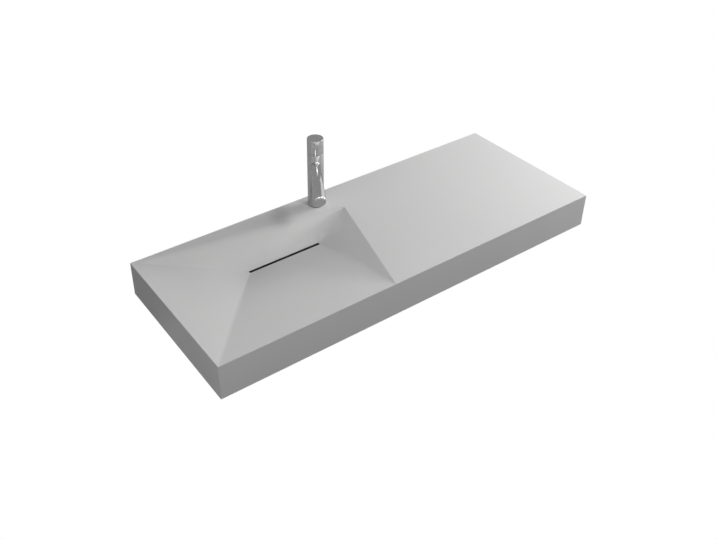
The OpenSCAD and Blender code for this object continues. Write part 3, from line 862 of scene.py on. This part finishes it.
def nut(name, node, bore):
    """A hexagon nut in the box of its node, with turned corners and a bore of this radius, countersunk."""
    low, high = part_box(node)
    middle = upright(low, high)
    corner_r, flat_r = (high.x - low.x) / 2, (high.y - low.y) / 2
    rise = (corner_r - flat_r) * 0.6
    wide = corner_r + 0.0001
    thing = piece(name, lathe(rod(corner_r, low.z, high.z), middle, steps=6), slots[node])
    turned = tool([(0, low.z), (flat_r, low.z), (wide, low.z + rise),
                   (wide, high.z - rise), (flat_r, high.z), (0, high.z)], middle)
    cut(thing, [turned], "INTERSECT")
    mouth = bore + 0.0008
    drill = tool([(0, low.z - 0.0002), (mouth, low.z - 0.0002), (bore, low.z + 0.0006),
                  (bore, high.z - 0.0006), (mouth, high.z + 0.0002), (0, high.z + 0.0002)], middle)
    stands_for(cut(thing, [drill]), node)
    return thing


backnut = nut("waste_nut", "waste_backnut", 0.02105)
stud_nut = nut("clamping_nut", "stud_nut", 0.0041)
print("nuts:", len(backnut.data.polygons), len(stud_nut.data.polygons))

# %% [markdown]
# The waste is one turned piece with a closed profile: bore, threaded tail, groove and a flange with a
# rounded edge. Two bars across its mouth are joined to it. The stud is a bar with a thread from end to end.

# %% Waste and stud
low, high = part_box("waste_body")
FLANGE, TAIL, BORE, BAR = (high.x - low.x) / 2, 0.02095, 0.018, 0.003
THREAD_TOP, GROOVE_FOOT, GROOVE_TOP, GROOVE = -0.064, -0.0635, -0.0615, 0.001
foot, top = low.z, high.z
seat = top - 0.003
profile = [(BORE, foot + 0.0006), (BORE + 0.0006, foot), (TAIL - 0.001, foot),
           *close_points(TAIL, foot + 0.001, THREAD_TOP, G_THREAD), (TAIL, GROOVE_FOOT),
           (TAIL - GROOVE, GROOVE_FOOT), (TAIL - GROOVE, GROOVE_TOP), (TAIL, GROOVE_TOP), (TAIL, seat),
           (FLANGE - 0.0004, seat),
           (FLANGE, seat + 0.0004), *arc((FLANGE - 0.0012, top - 0.0012), 0.0012, 0, 90),
           *arc((BORE + 0.0008, top - 0.0008), 0.0008, 90, 180)]
waste = lathe(profile, SLOT_MIDDLE, closed=True,
              rule=thread(TAIL, foot + 0.001, THREAD_TOP, G_THREAD))
waste = piece("threaded_waste", waste, slots["waste_body"])
x, y = SLOT_MIDDLE.x, SLOT_MIDDLE.y
bars = [block((x - a, y - b, seat), (x + a, y + b, top - 0.0003))
        for a, b in ((BORE + 0.0006, BAR / 2), (BAR / 2, BORE + 0.0006))]
stands_for(cut(waste, bars, "UNION"), "waste_body")

low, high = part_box("mounting_stud")
STUD, LEAD = (high.x - low.x) / 2, 0.0008
span = (low.z + LEAD, high.z - LEAD, M8_THREAD)
profile = [(0, low.z), (STUD - LEAD, low.z), *close_points(STUD, *span), (STUD - LEAD, high.z), (0, high.z)]
stud = lathe(profile, upright(low, high), steps=48, rule=thread(STUD, *span))
stud = piece("threaded_stud", stud, slots["mounting_stud"])
stands_for(settle(stud), "mounting_stud")
print("waste:", len(waste.data.polygons), "faces; stud:", len(stud.data.polygons))

# %% [markdown]
# ## Pieces that repeat
#
# The four screws of the brackets and the cells of the aerator's sieve repeat by a rule, so Geometry Nodes
# lay them out. Each tree is built here with named inputs. The screws stand on the corners of a grid, and
# each is turned by a random angle from a fixed seed, as a fitter leaves them. The sieve is a lattice of
# hexagons: each second row of a grid is shifted by half a cell, and the cells outside the ring are left out.

# %% Geometry Nodes
def rule_tree(name, inputs):
    """A new tree of Geometry Nodes with named inputs, as a graph and a table of its inputs' sockets."""
    tree = bpy.data.node_groups.new(name, "GeometryNodeTree")
    graph = Graph(tree)
    tree.interface.new_socket("Geometry", in_out="OUTPUT", socket_type="NodeSocketGeometry")
    for label, kind in inputs.items():
        tree.interface.new_socket(label, in_out="INPUT", socket_type=f"NodeSocket{kind}")
    graph.node("NodeGroupInput")
    return graph, {label: Socket(graph, graph.last.outputs[label]) for label in inputs}


def finish_tree(graph, placed, feed):
    """The end of each tree: the instances are moved to their middle, made real and given their material."""
    moved = graph.node("GeometryNodeTransform", {}, {"Geometry": placed, "Translation": feed["Middle"]})
    real = graph.node("GeometryNodeRealizeInstances", {}, {"Geometry": moved})
    painted = graph.node("GeometryNodeSetMaterial", {}, {"Geometry": real, "Material": feed["Material"]})
    graph.node("NodeGroupOutput", {}, {"Geometry": painted})


def grow(name, graph, values, slot_name):
    """Runs a tree with these values and returns the mesh that it makes, as a piece."""
    thing = piece(name, bpy.data.meshes.new(name), slot_name)
    mod = thing.modifiers.new("rule", "NODES")
    mod.node_group = graph.tree
    for item in graph.tree.interface.items_tree:
        if item.in_out == "INPUT":
            mod[item.identifier] = values[item.name]
    settle(thing)
    print("grown:", name, len(thing.data.polygons), "faces")
    return thing


def instance(graph, points, template, **more):
    """Places a template object on points."""
    graph.node("GeometryNodeObjectInfo", {"transform_space": "ORIGINAL"}, {"Object": template})
    shape = Socket(graph, graph.last.outputs["Geometry"])
    return graph.node("GeometryNodeInstanceOnPoints", {}, {"Points": points, "Instance": shape, **more})


# %% [markdown]
# A screw is turned on the lathe, threaded by the same rule, and gets its hexagon key as a cut. The tree only
# places it: a grid of two by two points, whose pitches are read from the box of the CAD node.

# %% Bracket screws
g, feed = rule_tree("screws_on_a_grid", {"Screw": "Object", "Pitch X": "Float", "Pitch Y": "Float",
                                         "Middle": "Vector", "Seed": "Int", "Material": "Material"})
corners_of_grid = g.node("GeometryNodeMeshGrid", {}, {"Size X": feed["Pitch X"], "Size Y": feed["Pitch Y"],
                                                      "Vertices X": 2, "Vertices Y": 2})
angle = g.node("FunctionNodeRandomValue", {"data_type": "FLOAT"},
               {2: 0.0, 3: 2 * math.pi, "Seed": feed["Seed"]}, out=1)
turned = g.node("ShaderNodeCombineXYZ", {}, {"Z": angle})
finish_tree(g, instance(g, corners_of_grid, feed["Screw"], Rotation=turned), feed)

low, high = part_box("bracket_screws")
HEAD, SHANK, KEY = 0.005, 0.003, 0.002
under = low.z + 0.004
span = (under + 0.0005, high.z - LEAD, M6_THREAD)
crown = [(0, 0), (0.0032, 0), (0.0040, 0.0005), (0.0046, 0.0014), (0.0049, 0.0026)]
profile = [*((r, low.z + h) for r, h in crown), (HEAD, under - 0.0002), (HEAD - 0.0002, under),
           (SHANK, under), *close_points(SHANK, *span), (SHANK - LEAD, high.z), (0, high.z)]
screw = piece("screw", lathe(profile, steps=48, rule=thread(SHANK, *span)), "steel")
key_r = KEY / math.cos(math.radians(30))
key = tool([(0, low.z - 0.001), (key_r, low.z - 0.001), (key_r, low.z + 0.0025), (0, low.z + 0.0028)],
           steps=6)
cut(screw, [key])
middle = upright(low, high)
screws = grow("four_screws", g, {"Screw": screw, "Pitch X": high.x - low.x - 2 * HEAD,
                                 "Pitch Y": high.y - low.y - 2 * HEAD, "Middle": (middle.x, middle.y, 0.0),
                                 "Seed": 7, "Material": FINISH["steel"]}, "steel")
bpy.data.objects.remove(screw)
stands_for(screws, "bracket_screws")

# %% [markdown]
# One cell is a short tube of six sides, a hair smaller than the pitch, so that no two walls share a plane. A
# turned ring closes the lattice at its rim and covers the outermost cells.

# %% Sieve of the aerator
g, feed = rule_tree("lattice_of_cells", {"Cell": "Object", "Pitch": "Float", "Radius": "Float",
                                         "Middle": "Vector", "Material": "Material"})
ROWS = 14
row_pitch = feed["Pitch"] * (math.sqrt(3) / 2)
lattice = g.node("GeometryNodeMeshGrid", {}, {"Size X": feed["Pitch"] * ROWS, "Size Y": row_pitch * ROWS,
                                              "Vertices X": ROWS + 1, "Vertices Y": ROWS + 1})
place = g.node("GeometryNodeInputPosition")
row = (g.axes(place)[1] / row_pitch).maths("ROUND")
shift = row.maths("FLOORED_MODULO", 2.0) * feed["Pitch"] * 0.5
offset = g.node("ShaderNodeCombineXYZ", {}, {"X": shift})
lattice = g.node("GeometryNodeSetPosition", {}, {"Geometry": lattice, "Offset": offset})
away = g.node("ShaderNodeVectorMath", {"operation": "LENGTH"}, {0: place}, out="Value")
outside = g.node("FunctionNodeCompare", {"data_type": "FLOAT", "operation": "GREATER_THAN"},
                 {0: away, 1: feed["Radius"]})
kept = g.node("GeometryNodeDeleteGeometry", {"domain": "POINT"}, {"Geometry": lattice, "Selection": outside})
finish_tree(g, instance(g, kept, feed["Cell"]), feed)

low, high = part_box("aerator_insert")
RING, WALL, CELL, CELL_HEIGHT, BREAK = (high.x - low.x) / 2, 0.0018, 0.0016, 0.002, 0.0003
middle = upright(low, high)
cell_r = CELL / math.sqrt(3) * 0.999
hole_r = cell_r * 0.8
profile = [(hole_r, 0), (cell_r * 0.84, -0.0001), (cell_r, 0), (cell_r, CELL_HEIGHT), (hole_r, CELL_HEIGHT)]
twelfth_turn = Matrix.Rotation(math.radians(30), 3, "Z")
cell = piece("cell", lathe(profile, turn=twelfth_turn, steps=6, closed=True), "slab")
sieve = grow("sieve", g, {"Cell": cell, "Pitch": CELL, "Radius": RING - 0.001,
                          "Middle": (middle.x, middle.y, low.z + 0.0008),
                          "Material": FINISH["white_plastic"]}, "white_plastic")
bpy.data.objects.remove(cell)
inner = RING - WALL
bm = lathe([(inner, low.z + BREAK), (inner + BREAK, low.z), (RING - BREAK, low.z), (RING, low.z + BREAK),
            (RING, high.z - BREAK), (RING - BREAK, high.z), (inner, high.z)], middle, closed=True)
bm.from_mesh(sieve.data)
bpy.data.objects.remove(sieve)
insert = piece("aerator_sieve", bm, slots["aerator_insert"])
stands_for(settle(insert), "aerator_insert")

# %% [markdown]
# ## Edges of the plain pieces
#
# Sheet steel, moulded rings and sawn ribs keep their CAD meshes. Their edges aren't knife-sharp in reality,
# so a small bevel that works on the sharp edges alone breaks them, after a weld that makes the meshes
# continuous.

# %% Small bevels on CAD nodes
for width, names in ((0.0004, ("left_bracket", "right_bracket", "bracket_washers", "steel_horseshoe",
                               "hot_bush", "cold_bush", "aerator_housing", "rib_inserts")),
                     (0.0006, ("rubber_horseshoe", "waste_slip_washer", "waste_cone_seal", "waste_top_seal")),
                     (0.0008, ("drain_trough", "left_rib", "middle_rib", "right_rib"))):
    for name in names:
        weld = nodes[name].modifiers.new("weld", "WELD")
        weld.merge_threshold = 0.000001
        bevel = nodes[name].modifiers.new("broken_edge", "BEVEL")
        bevel.width, bevel.segments, bevel.limit_method = width, 2, "ANGLE"
        bevel.angle_limit = math.radians(48)
print("beveled:", [o.name for o in nodes.values() if "broken_edge" in o.modifiers])

# %% [markdown]
# ## The end
#
# The view transform is set to Standard, and the box of everything that renders, the studio sheets left out,
# is printed.

# %% Sizes and finish
bpy.context.scene.view_settings.view_transform = "Standard"
low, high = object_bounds()
print("visual box:", [round(v, 4) for v in low], [round(v, 4) for v in high])
